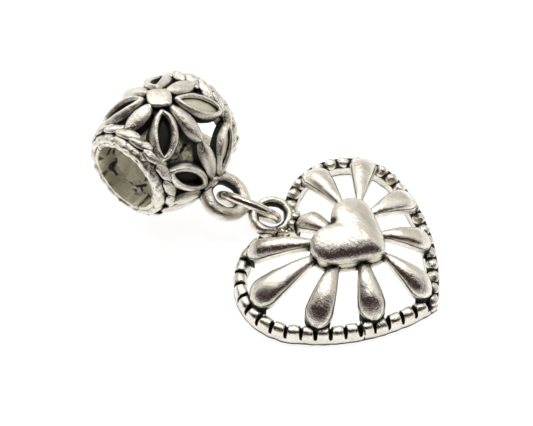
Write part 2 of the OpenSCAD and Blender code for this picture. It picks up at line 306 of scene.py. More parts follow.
# Section of the near blocks, from the same points
BLOCK = [(0.94, 0), (1, 0.05), (1.02, 0.32), (1.03, 0.6), (1.03, 0.86), (0.99, 1.02), (0.9, 1.15), (0.74, 1.26),
         (0.52, 1.33), (0.2, 1.37), (-0.15, 1.38), (-0.45, 1.35), (-0.7, 1.27), (-0.86, 1.14), (-0.95, 0.98),
         (-1, 0.78), (-1, 0.45), (-1, 0.25), (-1, 0.05), (-0.94, 0)]
# Points of these sections: the top of the low rim, the upper part of a block and its outer foot
RIM_TOP, BLOCK_UPPER, BLOCK_FOOT = slice(7, 13), slice(4, 16), slice(2)
# Shape of the notch between two near blocks: distance from its middle, depth
NOTCH = [(-0.2, 0), (-0.14, 0.14), (-0.09, 0.55), (-0.03, 1), (0.03, 1), (0.09, 0.55), (0.14, 0.14), (0.2, 0)]


def rim_point(s, side, across, height):
    """A point on one side of the rim, at a length from the tip and a distance outward from the middle line."""
    p, way = RIM.along(s)
    out = Vector((way.y, -way.x))
    return Vector((p.x + across * out.x, side * (p.y + across * out.y), height))


def build_rim(sizes):
    """The rim's two sides: a low band under the far beads, and blocks with notches between on the near side."""
    half, steps = sizes.rim_width / MM / 2, 150
    bm, groove = new_mesh()
    tip_mitre = half * math.tan(RIM.start)
    way = RIM.along(RIM.length)[1]
    cleft_mitre = half * way.x / abs(way.y)
    ends = -tip_mitre, RIM.length + cleft_mitre
    rings = loft(
        bm, [[rim_point(lerp(*ends, i / steps), 1, x * half, z) for x, z in LOW_RIM] for i in range(steps + 1)])
    for ring in rings:
        for v in ring[RIM_TOP]:
            v[groove] = 0.75
    pitch = RIM.length / (sizes.near_blocks + 1)
    places = [(ends[0], None), (0.2 * pitch, None), (0.44 * pitch, None)]
    for k in range(sizes.near_blocks + 1):
        middle = (k + 0.5) * pitch + 0.05 * jitter(k * 3.7)
        places += [(middle + d * (0.85 + 0.4 * jitter(k * 1.9, 5)), q) for d, q in NOTCH]
        places += [(middle + d * pitch, 0) for d in (0.24, 0.37, 0.5, 0.63, 0.76)]
    places = [place for place in places if place[0] < ends[1]]
    sections = []
    for s, depth in places:
        dome = abs(math.cos(math.pi * s / pitch))
        swell = 0.2 * jitter(round(s / pitch) * 2.9, 9) + 0.08 * (dome - 0.6)
        floor = 0.58 + 0.1 * jitter(s * 0.7, 2)
        section = []
        for (x, z), low in zip(BLOCK, LOW_RIM):
            if depth is None:
                x, z = low
            elif z > floor:
                foot = floor if x > 0 else floor + 0.2
                z = lerp(z + swell, min(z, foot), depth)
                x *= 1 - 0.1 * depth - 0.1 * (1 - dome) * (z > floor)
            section.append(rim_point(s, -1, x * half, z))
        sections.append(section)
    for ring, (_, depth) in zip(loft(bm, sections), places):
        for v in ring[BLOCK_UPPER]:
            v[groove] = 0.6 if depth is None else min(1, 1.6 * depth)
        for v in ring[BLOCK_FOOT]:
            v[groove] = 0.5
    unevenness(bm, 0.05, 0.55, 3)
    for v in bm.verts:
        v.co.z = max(v.co.z, 0)
    return finish_piece("heart_rim", "heart_pendant", bm, AT_HEART)


def build_rim_beads(sizes):
    """The round beads of the far side and the one on the tip."""
    radius = sizes.rim_bead / MM / 2
    pitch = RIM.length / (sizes.far_beads + 1)
    bm, groove = new_mesh()
    for k in range(sizes.far_beads + 1):
        wobble = [jitter(k * 1.7, i * 5.3) for i in range(5)]
        way = RIM.along(k * pitch)[1]
        place = (
            Matrix.Translation(rim_point(k * pitch + 0.06 * wobble[4], 1, 0, 0.93 + 0.05 * wobble[0]))
            @ Matrix.Rotation(math.atan2(way.y, way.x) if k else 0, 4, "Z")
            @ Matrix.Diagonal((0.97 + 0.06 * wobble[1], 1.0 + 0.08 * wobble[2], 0.96 + 0.06 * wobble[3], 1))
        )
        ball = bmesh.ops.create_uvsphere(bm, u_segments=20, v_segments=14, radius=radius, matrix=place)["verts"]
        for v in ball:
            v[groove] = 0.8 * ease((0.98 - v.co.z) / 0.12)
    unevenness(bm, 0.08, 0.32, 8)
    return finish_piece("rim_beads", "heart_pendant", bm, AT_HEART, sharp=80)


def build_petals(sizes):
    """Blunt petals on a short foot, arched underneath, with a fine step between the sides and the round top."""
    side, dome, foot_length = sizes.petal_side / MM, sizes.petal_dome / MM, 0.55
    bm, groove = new_mesh()
    nose_steps = [0, 0.01, 0.035, 0.08, 0.15, 0.24, 0.35, 0.5, 0.66, 0.84]
    for outer, inner, width, taper in PETALS:
        start, way = Vector((*outer, 0)), Vector((inner[0] - outer[0], inner[1] - outer[1], 0))
        across = Vector((-way.y, way.x, 0)).normalized() * width / 2
        nose = 0.5 * width / way.length
        foot = foot_length / way.length
        steps = [nose * q for q in nose_steps] + [lerp(nose, 1, i / 12) for i in range(13)]
        steps = sorted(steps + [1 + 0.3 / way.length, foot, foot + 0.03])
        sections, marks = [], []
        for t in steps:
            if t < nose:
                share = max(0.05, 1 - (1 - t / nose) ** 2) ** 0.45
            else:
                share = max(taper, 1 - (1 - taper) * ((t - nose) / (1 - nose)) ** 1.15)
            arch = 2.61 - 1.46 * (1 - min(t, 1)) ** 2
            low = 0.86 if t <= foot else arch
            rise = dome * share**1.2
            right = [(0.96, low), (1, low + 0.08), (1, lerp(low, arch + side, 0.5)), (1, arch + 0.9 * side),
                     (0.985, arch + side), (0.955, arch + side + 0.02), (0.925, arch + side - 0.015)]
            angles = [math.radians(a) for a in (6, 13, 21, 30, 39, 48, 57, 66, 75, 83)]
            right += [(0.91 * math.cos(a), arch + side + (rise + 0.02) * math.sin(a)) for a in angles]
            profile = right + [(0, arch + side + rise + 0.02)] + [(-x, z) for x, z in reversed(right)]
            middle = start + way * t
            sections.append([middle + across * (x * share) + Vector((0, 0, z)) for x, z in profile])
            # The foot walls and the nose's lower wall are painted black, patina and painted shade over the rim; the
            # step gets a fine dark line
            black = 1.0 if t <= foot else 0.0
            nose_wall = ease((0.75 * nose - t) / (0.3 * nose))
            wall = [black, black, max(0.6 * black, nose_wall), 0.9 * nose_wall]
            half = wall + [0, 0.2, 1, 0.25] + [0] * 9
            marks.append(half + [0] + half[::-1])
        mark(loft(bm, sections), groove, marks)
    unevenness(bm, 0.045, 0.7, 21)
    return finish_piece("heart_petals", "heart_pendant", bm, AT_HEART, sharp=60)


def build_middle_heart(sizes):
    """The puffed heart on its recessed wall, with a lip round the foot."""
    edge, puff = 3.85, sizes.heart_puff / MM
    # Share of the outline, height, groove mark: patina, with painted shade in the recess under the lip
    foot = [(0.94, 2.56, 0), (0.985, 2.6, 0), (1, 2.7, 0), (1, 2.88, 0), (0.985, 2.97, 0), (0.955, 3.04, 0.4),
            (0.94, 3.14, 0.3), (0.935, 3.3, 0.1), (0.93, 3.45, 0.2), (0.925, 3.55, 0.7), (0.935, 3.62, 1),
            (0.975, 3.69, 0.5), (1, 3.78, 0)]
    angles = [math.radians(a) for a in (3, 8, 14, 20, 27, 34, 41, 48, 55, 61, 67, 73, 78, 83, 87)]
    levels = foot + [(math.cos(a), edge + puff * math.sin(a), 0) for a in angles]
    bm, groove = new_mesh()
    outline = MIDDLE.outline(44, 12)
    middle = 0.25
    rings = loft(
        bm, [[(lerp(middle, p.x, share), p.y * share, z) for p in outline] for share, z, _ in levels])
    mark(rings, groove, [repeat(black) for _, _, black in levels])
    top = [v for ring in rings for v in ring if v.co.z > edge + 0.35 * puff]
    for _ in range(10):
        bmesh.ops.smooth_vert(bm, verts=top, factor=0.5, use_axis_x=False, use_axis_y=False, use_axis_z=True)
    # The dome round the cleft is marked dark: painted shade in the notch
    for v in bm.verts:
        off = math.hypot(v.co.x - MIDDLE.cleft.x, v.co.y)
        if v.co.z > 3.2:
            v[groove] = max(v[groove], ease((0.62 - off) / 0.35))
    unevenness(bm, 0.035, 1.1, 33)
    return finish_piece("middle_heart", "heart_pendant", bm, AT_HEART, sharp=60)


def build_heart_loop(sizes):
    """The loop in the cleft, with large and small grains round its root."""
    bm, groove = new_mesh()
    torus(
        bm, Matrix.Translation((-6.33, -0.05, 1.2)), radius=1.26, wire=sizes.loop_wire / MM, groove=groove, half=0.42)
    for place, radius in GRAINS:
        matrix = Matrix.Translation(place)
        bmesh.ops.create_uvsphere(bm, u_segments=20, v_segments=14, radius=radius, matrix=matrix)
    small_grains = 16
    for k in range(small_grains):
        a, far = 2.4 * k, math.sqrt((k + 0.5) / small_grains)
        x, y = -4.9 + 0.32 * far * math.cos(a), -0.2 + 1.45 * far * math.sin(a)
        matrix = Matrix.Translation((x, y, 1.3 + 0.2 * jitter(k * 1.3)))
        bmesh.ops.create_uvsphere(bm, u_segments=14, v_segments=10, radius=0.19 + 0.02 * (k % 4), matrix=matrix)
    unevenness(bm, 0.07, 0.4, 44)
    return finish_piece("heart_loop", "heart_pendant", bm, AT_HEART, sharp=80)


def build_jump_ring(sizes):
    """The plain ring that stands leaning through both loops."""
    bm, _ = new_mesh()
    radius, wire, lean = sizes.ring_radius / MM, sizes.ring_wire / MM, math.radians(RING_LEAN)
    place = (
        Matrix.Translation((HEART_X - 7.71, -0.8, wire + radius * math.cos(lean)))
        @ Matrix.Rotation(math.radians(RING_TURN), 4, "Z")
        @ Matrix.Rotation(lean - math.pi / 2, 4, "X")
    )
    torus(bm, place, radius, wire, steps=96, sides=24)
    return finish_piece("jump_ring_wire", "jump_ring", bm)


class Barrel:
    """Points on the bead's round body, from its flowers' own places."""

    def __init__(self, sizes):
        self.d, self.l = sizes.diameter / MM, sizes.length / MM
        self.neck_s, self.neck_d = self.l / 2 - 0.5, 6.6
        drop = (self.d - self.neck_d) / 2
        self.arc = (self.neck_s**2 + drop**2) / (2 * drop)
        self.wall = sizes.wall / MM

    def radius(self, s):
        return self.d / 2 - self.arc + math.sqrt(self.arc**2 - s * s)

    def point(self, at, u, s, lift):
        """u goes round the bead and s toward the near mouth from a flower's middle at that angle."""
        a = math.radians(at) + 2 * u / self.d
        r = self.radius(s) + lift
        return Vector((r * math.cos(a), -s, r * math.sin(a)))


def leaf_edge(t):
    """Outline of a leaf that is pointed at both ends, 2 long and 2 wide."""
    return math.cos(t), math.copysign(abs(math.sin(t)) ** 1.4, math.sin(t))


def hollow_places():
    """Every hollow petal: its flower's angle, the side and end of the flower it is at, its middle, and the ways
    along and across it."""
    for at in FLOWERS:
        for side in (1, -1):
            for end in (1, -1):
                ahead = Vector((side * 0.79, end * 0.613))
                yield at, side, end, Vector((side * 2.4, end * 1.85)), ahead, Vector((-ahead.y, ahead.x))


def build_hollow_petals(sizes):
    """The petals with a sunk slot, four to a flower."""
    barrel = Barrel(sizes)
    # Share of the way from the slot to the edge, lift, groove mark: black walls, patina and painted shade in the slot
    section = [(-0.3, -1, 1), (-0.16, -0.7, 1), (-0.06, -0.4, 1), (-0.01, -0.2, 0.5), (0.04, -0.06, 0),
               (0.1, 0.05, 0), (0.2, 0.13, 0), (0.36, 0.17, 0), (0.52, 0.14, 0), (0.68, 0.04, 0), (0.83, -0.12, 0),
               (0.95, -0.3, 0.1), (1.03, -0.5, 0.8), (1.16, -0.7, 1), (1.35, -1, 1)]
    bm, groove = new_mesh()
    for at, _, _, mid, ahead, across in hollow_places():
        rings = []
        for x, y in map(leaf_edge, turns(44)):
            slot = Vector((x * SLOT_REACH, y * sizes.slot_width / MM / 2))
            edge = Vector((x * PETAL_REACH, y * sizes.petal_width / MM / 2))
            ring = []
            for share, lift, _ in section:
                w = slot + (edge - slot) * share
                p = mid + ahead * w.x + across * w.y
                ring.append(barrel.point(at, p.x, p.y, lift * barrel.wall))
            rings.append(ring)
        mark(loft(bm, rings, closed=True), groove, repeat([black for _, _, black in section]))
    unevenness(bm, 0.05, 0.6, 51)
    return finish_piece("hollow_petals", "bail_bead", bm, BEAD_PLACE, sharp=70)


def build_slot_floors(sizes):
    """The sunk floors of the hollow petals: painted black as patina and painted shade, but for two higher ones that are
    left bare.
    """
    barrel = Barrel(sizes)
    edge = [leaf_edge(a) for a in turns(32)]
    bm, groove = new_mesh()
    for at, side, end, mid, ahead, across in hollow_places():
        # These two raised floors stay bare; the others are painted black, patina and painted shade
        worn = end == -1 and side == (1 if at == FLOWERS[2] else -1) and at != FLOWERS[1]
        rise = 0.3 if worn else 0
        levels = []
        for share, lift in ((1.12, -0.72), (1.12, -0.56 + rise), (0.8, -0.5 + rise), (0.4, -0.48 + rise)):
            ring = []
            for x, y in edge:
                p = mid + ahead * (x * share * SLOT_REACH) + across * (y * share * sizes.slot_width / MM / 2)
                ring.append(barrel.point(at, p.x, p.y, lift))
            levels.append(ring)
        mark(loft(bm, levels), groove, repeat(repeat(-2 if worn else 1)))
    unevenness(bm, 0.05, 0.3, 57)
    return finish_piece("slot_floors", "bail_bead", bm, BEAD_PLACE, sharp=70)


def build_leaves(sizes):
    """The solid leaves: two round the bead and two along it in every flower."""
    barrel = Barrel(sizes)
    # Share of the half width, lift, groove
    half = [(1.4, -1, 1), (1.2, -0.7, 1), (1.06, -0.48, 0.8), (0.96, -0.28, 0), (0.82, -0.1, 0), (0.58, 0.05, 0),
            (0.3, 0.13, 0)]
    section = half + [(0, 0.15, 0)] + [(-x, z, black) for x, z, black in reversed(half)]
    # Share of the length, share of the width
    steps = [(0, 0.4), (0.05, 0.55), (0.12, 0.7), (0.2, 0.83), (0.3, 0.94), (0.42, 1), (0.55, 0.99), (0.67, 0.93),
             (0.78, 0.8), (0.87, 0.63), (0.94, 0.44), (1, 0.22)]
    bm, groove = new_mesh()
    for at in FLOWERS:
        for side in (1, -1):
            round_leaf = (side * 1.1, 0), (side * 4.5, 0), 1.25
            axial_leaf = (0, side * 0.85), (side * 0.45, side * (barrel.neck_s - 0.5)), 1.5
            for start, end, width in (round_leaf, axial_leaf):
                start, way = Vector(start), Vector(end) - Vector(start)
                across = Vector((-way.y, way.x)).normalized()
                sections = []
                for t, share in steps:
                    ring = []
                    for x, lift, _ in section:
                        p = start + way * t + across * (x * share * width / 2)
                        ring.append(barrel.point(at, p.x, p.y, lift * barrel.wall - 0.15 * (1 - share)))
                    sections.append(ring)
                mark(loft(bm, sections), groove, repeat([black for _, _, black in section]))
    unevenness(bm, 0.06, 0.6, 62)
    return finish_piece("solid_leaves", "bail_bead", bm, BEAD_PLACE, sharp=70)


def build_blocks(sizes):
    """The block in the middle of each flower, and the plate under it."""
    barrel, angles = Barrel(sizes), turns(40)
    bm, groove = new_mesh()
    edge = [[math.copysign(abs(c) ** 1.5, c) for c in (math.cos(a), math.sin(a))] for a in angles]
    for at in FLOWERS:
        plate = [[barrel.point(at, 1.45 * math.cos(a), 1.25 * math.sin(a), z * barrel.wall) for a in angles]
                 for z in (-1, -0.45)]
        mark(loft(bm, plate), groove, repeat(repeat(1)))
        # Share of the outline, lift, groove
        levels = [(1.02, -0.5, 1), (1, -0.3, 1), (1, -0.12, 0.3), (0.98, 0.04, 0), (0.94, 0.1, 0), (0.86, 0.13, 0),
                  (0.6, 0.14, 0), (0.3, 0.15, 0)]
        block = [[barrel.point(at, 1.12 * q * x, 0.95 * q * y, z) for x, y in edge] for q, z, _ in levels]
        mark(loft(bm, block), groove, [repeat(black) for _, _, black in levels])
    unevenness(bm, 0.05, 0.5, 73)
    return finish_piece("flower_blocks", "bail_bead", bm, BEAD_PLACE, sharp=60)


def build_lining(sizes):
    """The plate that closes the underside, inside the petals."""
    barrel = Barrel(sizes)
    bm, _ = new_mesh()
    # Angles round the bead between which it lies, and how far it reaches each way along it
    first, last, reach = 196, 330, 3.1
    rows = [lerp(-reach, reach, i / 24) for i in range(25)]
    sections = []
    for i in range(49):
        at = lerp(first, last, i / 48)
        outer = [barrel.point(at, 0, s, -barrel.wall - 0.14) for s in rows]
        inner = [barrel.point(at, 0, s, 0.06 - barrel.wall) for s in reversed(rows)]
        sections.append(outer + inner)
    loft(bm, sections)
    unevenness(bm, 0.12, 0.9, 17)
    return finish_piece("bead_lining", "bail_bead", bm, BEAD_PLACE)


def build_mouth_rings(sizes):
    """Roped rings on the collars that the flowers end on, with pads behind them."""
    barrel = Barrel(sizes)
    lobes, half = sizes.mouth_lobes, barrel.l / 2
    # Steps of the rope in one lobe and round its section
    per_lobe, around = 12, 20
    bm, groove = new_mesh()
    # End of the bead, radius and half thickness of the rope
    for end, rope, thick in ((1, 2.95, 0.37), (-1, 2.88, 0.3)):
        rings, marks = [], []
        for k, a in enumerate(turns(per_lobe * lobes)):
            ring, blacks = [], []
            for b in turns(around):
                lobe = abs(math.cos(math.pi * k / per_lobe + 0.95 * math.sin(b))) ** 0.45
                swell = 0.76 + 0.24 * lobe
                r = rope + thick * swell * math.cos(b)
                ring.append((r * math.cos(a), -end * (half - 0.62 + 0.6 * swell * math.sin(b)), r * math.sin(a)))
                blacks.append(ease((0.5 - lobe) / 0.3) * ease(0.5 + 2 * math.cos(b)))
            rings.append(ring)
            marks.append(blacks)
        mark(loft(bm, rings, closed=True), groove, marks)
        for k in range(lobes):
            s = barrel.neck_s - 0.5 + 0.1 * jitter(k * 2.3, end)
            pad = (
                Matrix.Rotation(FULL_TURN * (k + 0.3) / lobes, 4, "Y")
                @ Matrix.Translation((barrel.radius(s) - 0.16, -end * s, 0))
                @ Matrix.Rotation(end * 0.35, 4, "X")
                @ Matrix.Diagonal((0.24, 0.4, 0.95, 1))
            )
            bmesh.ops.create_uvsphere(bm, u_segments=20, v_segments=14, radius=1, matrix=pad)
        neck, bore = barrel.neck_s, 2.5
        # Radius and place along the bead of the collar's corners
        collar = [(bore, neck - 1), (3.3, neck - 1), (3.24, neck - 0.55), (3.05, neck - 0.1),
                  (rope - 0.14, half - 0.14), (rope - 0.2, half - 0.1), (bore + 0.04, half - 0.1), (bore, half - 0.14)]
        loft(bm, [[(r * math.cos(a), -end * s, r * math.sin(a)) for a in turns(96)] for r, s in collar], closed=True)
    unevenness(bm, 0.09, 0.35, 84)
    return finish_piece("mouth_rings", "bail_bead", bm, BEAD_PLACE, sharp=45)


def build_bead_loop(sizes):
    """The loop at the bead's side and the swell that it stands on."""
    bm, groove = new_mesh()
    torus(bm, BEAD_LOOP_PLACE, radius=1.43, wire=0.51, groove=groove)
    root = (
        BEAD_PLACE
        @ Matrix.Rotation(math.radians(19), 4, "Y")
        @ Matrix.Translation((sizes.diameter / MM / 2 - 0.45, 0.5, 0))
    )
    bmesh.ops.create_uvsphere(bm, u_segments=28, v_segments=18, radius=0.62, matrix=root)
    unevenness(bm, 0.06, 0.6, 95)
    return finish_piece("bead_loop", "bail_bead", bm, sharp=80)


def paint_crevices_and_shade(pieces, reach, rays=22):
    """Writes to each point how closed in it is, from 0 in the open to 1 deep in a crevice. The floor closes points in
    as well, so the value is patina in hollows and painted shade near the floor.
    """
    points, faces = [], []
    for piece in pieces:
        first = len(points)
        points += [v.co / MM for v in piece.data.vertices]
        faces += [[first + i for i in face.vertices] for face in piece.data.polygons]
    # The floor closes points in too, so metal near it is darkened: painted shade
    points += [Vector((x, y, FLOOR_LEVEL)) for x, y in ((-30, -30), (30, -30), (30, 30), (-30, 30))]
    faces.append([len(points) - i for i in (4, 3, 2, 1)])
    tree = BVHTree.FromPolygons(points, faces)
    # Rays spread evenly over the half sphere that a point looks at
    golden = math.pi * (3 - math.sqrt(5))
    fan = []
    for i in range(rays):
        z = math.sqrt((i + 0.5) / rays)
        flat = math.sqrt(1 - z * z)
        fan.append(Vector((flat * math.cos(i * golden), flat * math.sin(i * golden), z)))
    for piece in pieces:
        values = []
        for v in piece.data.vertices:
            turn = v.normal.to_track_quat("Z", "Y")
            start = v.co / MM + v.normal * 0.025
            closed = 0.0
            for ray in fan:
                distance = tree.ray_cast(start, turn @ ray, reach)[3]
                if distance is not None:
                    closed += 1 - 0.6 * distance / reach
            values.append(closed / rays)
        layer = piece.data.attributes.new("crevice", "FLOAT", "POINT")
        layer.data.foreach_set("value", values)


def paint_bead_inside(piece, sizes):
    """Writes where a point faces the bead's bore, and where it lies deep between the mouths, where the bore gets
    painted shade.
    """
    barrel, back = Barrel(sizes), BEAD_PLACE.inverted()
    inside, deep = [], []
    for v in piece.data.vertices:
        p, n = back @ (v.co / MM), back.to_3x3() @ v.normal
        r, s = math.hypot(p.x, p.z), -p.y
        under = barrel.radius(min(max(s, -barrel.l / 2), barrel.l / 2)) - r
        facing = -(n.x * p.x + n.z * p.z) / max(r, 0.1)
        inside.append(ease((under - 0.3) / 0.3) * ease(0.5 + facing))
        deep.append(ease((1.5 - s) / 1.3) * ease((s + 3.5) / 0.6))
    for name, values in (("inside", inside), ("deep", deep)):
        piece.data.attributes.new(name, "FLOAT", "POINT").data.foreach_set("value", values)


class Wire:
    """One output of a shader node. Expressions on wires add their Math nodes."""

    def __init__(self, finish, socket):
        self.finish, self.socket = finish, socket

    def math(self, operation, a, b, clamp=False):
        return self.finish.node("ShaderNodeMath", {"operation": operation, "use_clamp": clamp}, {0: a, 1: b})

    def __add__(self, other):
        return self.math("ADD", self, other)

    __radd__ = __add__

    def __sub__(self, other):
        return self.math("SUBTRACT", self, other)

    def __rsub__(self, other):
        return self.math("SUBTRACT", other, self)

    def __mul__(self, other):
        return self.math("MULTIPLY", self, other)

    __rmul__ = __mul__

    def clamped(self):
        return self.math("ADD", self, 0.0, clamp=True)


class Finish:
    """A node tree that is built from wires."""

    def __init__(self, owner):
        owner.use_nodes = True
        self.tree = owner.node_tree
        self.tree.nodes.clear()

    def node(self, kind, settings=None, inputs=None, output=0):
        made = self.tree.nodes.new(kind)
        for name, value in (settings or {}).items():
            setattr(made, name, value)
        for name, value in (inputs or {}).items():
            if isinstance(value, Wire):
                self.tree.links.new(value.socket, made.inputs[name])
            else:
                made.inputs[name].default_value = value
        return Wire(self, made.outputs[output]) if made.outputs else None

    def end(self, kind, inputs, output="ShaderNodeOutputMaterial"):
        """The shader that the tree ends with."""
        self.node(output, {}, {"Surface": self.node(kind, {}, inputs)})

    def place(self):
        """The point on the object, in millimetres."""
        coords = self.node("ShaderNodeTexCoord", output="Object")
        return self.node("ShaderNodeVectorMath", {"operation": "SCALE"}, {0: coords, "Scale": 1 / MM})

    def noise(self, place, scale, detail=3.0, rough=0.5):
        return self.node(
            "ShaderNodeTexNoise", {}, {"Vector": place, "Scale": scale, "Detail": detail, "Roughness": rough})

    def mix(self, share, a, b):
        """From colour a at share 0 to colour b at share 1."""
        a, b = [colour if isinstance(colour, Wire) else (*colour, 1) for colour in (a, b)]
        return self.node(
            "ShaderNodeMix", {"data_type": "RGBA", "clamp_factor": True},
            {"Factor": share, FIRST_COLOUR: a, SECOND_COLOUR: b}, output=MIXED_COLOUR)

    def ramp(self, value, low, high):
        """0 below low and 1 over high, smooth between."""
        return self.node(
            "ShaderNodeMapRange", {"interpolation_type": "SMOOTHSTEP"},
            {"Value": value, "From Min": low, "From Max": high})


def antique_silver(name, colours, wear, satin):
    """Cast silver-tone metal: bright and mottled in the open, warm grey in half-closed places, black in crevices,
    olive grey and cracked inside the bead. The warm grey and the black are tarnish and patina, with painted shade
    near the floor, in the cleft, in the slots and deep in the bore. The more satin it is, the smoother its sheen
    and the rougher its relief, and the later it turns dull and black."""
    material = bpy.data.materials.new(name)
    finish = Finish(material)
    place = finish.place()
    crevice, groove, inside, deep = [
        finish.node("ShaderNodeAttribute", {"attribute_name": layer}, output="Fac")
        for layer in ("crevice", "groove", "inside", "deep")
    ]
    cloud = finish.noise(place, 1.1, 4.0, 0.6)
    mottle = finish.noise(place, 4.5, 5.0, 0.65)
    grain = finish.noise(place, 14.0, 3.0, 0.6)
    cracks = finish.node(
        "ShaderNodeTexVoronoi", {"feature": "DISTANCE_TO_EDGE"}, {"Vector": place, "Scale": 0.5}, output="Distance")
    whole = finish.ramp(cloud, 0.47, 0.57) * 0.2
    crack = (1 - finish.ramp(cracks + (mottle - 0.5) * 0.18 + whole, 0.04, 0.09)) * inside
    # How closed in and marked a point is: patina and tarnish in hollows, with painted shade near the floor, in the
    # cleft and in the slots
    depth = crevice * (1 - inside * 0.7) + groove * 0.55 + (mottle - 0.5) * 0.24 + (grain - 0.5) * 0.14
    specks = finish.ramp(finish.noise(place, 9.0, 2.0, 0.5), 0.58, 0.7)
    dull_and_shade = (finish.ramp(depth, 0.16 + 2 * satin, 0.42 + 2 * satin) + specks * 0.35).clamped()
    black = finish.ramp(depth, wear.black_from + satin, wear.black_from + satin + 0.14)
    bright = finish.mix(finish.ramp(cloud, 0.35, 0.7), colours.silver, colours.warm)
    # The open colour turned toward the aged colour where it is dull: tarnish, and painted shade
    worn = finish.mix(dull_and_shade, bright, colours.aged_and_shaded)
    bare = finish.ramp(groove, -0.6, -1.6)
    lined = finish.mix(inside * (1 - groove.clamped()) + bare, worn, colours.lining)
    # Painted shade deep in the bore, away from the mouths; it, the black, the cracks and the marks turn the metal to
    # the patina colour
    shade = deep * inside * finish.ramp(cloud, 0.45, 0.62) * 0.85
    closed = (black * (1 - inside) + crack + shade + groove.clamped() * inside).clamped()
    colour = finish.mix(closed, lined, colours.patina_and_shade)
    rough = wear.polish - satin + finish.ramp(mottle, 0.35, 0.75) * 0.1 + dull_and_shade * 0.14 + closed * 0.22
    relief = (mottle - 0.5) * 0.6 + (grain - 0.5) * 0.35 + cloud * 0.5
    bump = finish.node(
        "ShaderNodeBump", {}, {"Strength": 0.55, "Distance": wear.relief * (1 + 16 * satin), "Height": relief})
    metallic = (1 - satin - closed * 0.8 - bare * 0.75 - inside * 0.2).clamped()
    finish.end("ShaderNodeBsdfPrincipled", {
        "Base Color": colour, "Metallic": metallic, "Roughness": rough + bare * 0.3, "Normal": bump})
    return material


def bright_wire(name, colours, wear):
    """Drawn and plated wire: smoother and brighter than the castings, with faint lines."""
    material = bpy.data.materials.new(name)
    finish = Finish(material)
    place = finish.place()
    crevice = finish.node("ShaderNodeAttribute", {"attribute_name": "crevice"}, output="Fac")
    streak = finish.noise(place, 2.2, 4.0, 0.6)
    grain = finish.noise(place, 12.0, 3.0, 0.6)
    # The wire darkens toward the aged colour where it is closed in: tarnish, and painted shade where the loops and the
    # floor close it in
    dull_and_shade = finish.ramp(crevice + (grain - 0.5) * 0.15, 0.2, 0.7)
    bright = finish.mix(finish.ramp(streak, 0.3, 0.6), colours.silver, colours.warm)
    colour = finish.mix((dull_and_shade + finish.ramp(grain, 0.5, 0.65) * 0.3).clamped(), bright, colours.aged_and_shaded)
    rough = 0.14 + finish.ramp(streak, 0.4, 0.8) * 0.07 + dull_and_shade * 0.2
    bump = finish.node(
        "ShaderNodeBump", {}, {"Strength": 0.2, "Distance": wear.relief * 0.5, "Height": grain + streak})
    finish.end("ShaderNodeBsdfPrincipled", {
        "Base Color": colour, "Metallic": 1.0, "Roughness": rough, "Normal": bump})
    return material


def pale_floor(settings):
    """Matt white with a glow, so that it shows as an even white ground."""
    material = bpy.data.materials.new("pale_floor")
    finish = Finish(material)
    finish.end("ShaderNodeBsdfPrincipled", {
        "Base Color": (*settings.floor, 1), "Roughness": 0.9, "Specular IOR Level": 0.1,
        "Emission Color": (1, 1, 1, 1), "Emission Strength": settings.floor_glow})
    return material


def studio_world(scene, settings):
    """Bright above, greyer behind, and dark in front, where the room beyond the lights is."""
    world = bpy.data.worlds.new("studio")
    scene.world = world
    finish = Finish(world)
    way = finish.node("ShaderNodeTexCoord", output="Generated")
    front = finish.node(
        "ShaderNodeVectorMath", {"operation": "DOT_PRODUCT"}, {0: way, 1: FRONT}, output="Value")
    up = finish.node("ShaderNodeSeparateXYZ", {}, {0: way}, output="Z")
    patches = finish.noise(way, 2.2, 2.0, 0.5)
    dark = finish.ramp(front + (patches - 0.5) * 0.2, settings.dark_from, settings.dark_from + 0.2)
    back = finish.ramp(front, 0.1, -0.6)
    low = 1 - finish.ramp(up, 0.1, 0.6)
    sky = finish.mix(back, settings.sky, settings.sky_behind)
    sky = finish.mix(back * low, sky, settings.horizon_behind)
    colour = finish.mix(dark, sky, settings.room)
    finish.end(
        "ShaderNodeBackground", {"Color": colour, "Strength": settings.sky_strength}, output="ShaderNodeOutputWorld")


def metres(name, description, default, **options):
    return FloatProperty(name=name, description=description, default=default, unit="LENGTH", **options)


def tint(name, description, default):
    return FloatVectorProperty(
        name=name, description=description, default=default, subtype="COLOR", min=0, max=1)


class HeartSizes(bpy.types.PropertyGroup):
    rim_width: metres("Rim width", "Width of the rim's band", 0.00093)
    rim_bead: metres("Rim bead", "Diameter of one round bead of the rim", 0.00092)
    far_beads: IntProperty(
        name="Far beads", description="Round beads on the far side, without the one on the tip", default=22, min=12,
        max=30)
    near_blocks: IntProperty(
        name="Near blocks", description="Blocks between the notches of the near side", default=21, min=12, max=30)
    petal_side: metres("Petal side", "Height of a petal's straight sides", 0.00055)
    petal_dome: metres("Petal dome", "Rise of a petal's round top", 0.0006)
    heart_puff: metres("Puff", "Rise of the middle heart's top over its edge", 0.00115)
    loop_wire: metres("Loop wire", "Half the width of the heart's loop", 0.000345)
    ring_radius: metres("Ring radius", "Radius of the jump ring to the middle of its wire", 0.00209)
    ring_wire: metres("Ring wire", "Wire radius of the jump ring", 0.00033)


class BeadSizes(bpy.types.PropertyGroup):
    diameter: metres("Diameter", "Diameter of the bead at its middle", 0.00882)
    length: metres("Length", "Length of the bead over its mouth rings", 0.00852)
    wall: metres("Wall", "Thickness of the openwork", 0.00075)
    petal_width: metres("Petal width", "Width of a hollow petal", 0.00212)
    slot_width: metres("Slot width", "Width of the slot in a hollow petal", 0.0009)
    mouth_lobes: IntProperty(
        name="Lobes", description="Slanting lobes round each mouth ring", default=17, min=10, max=24)


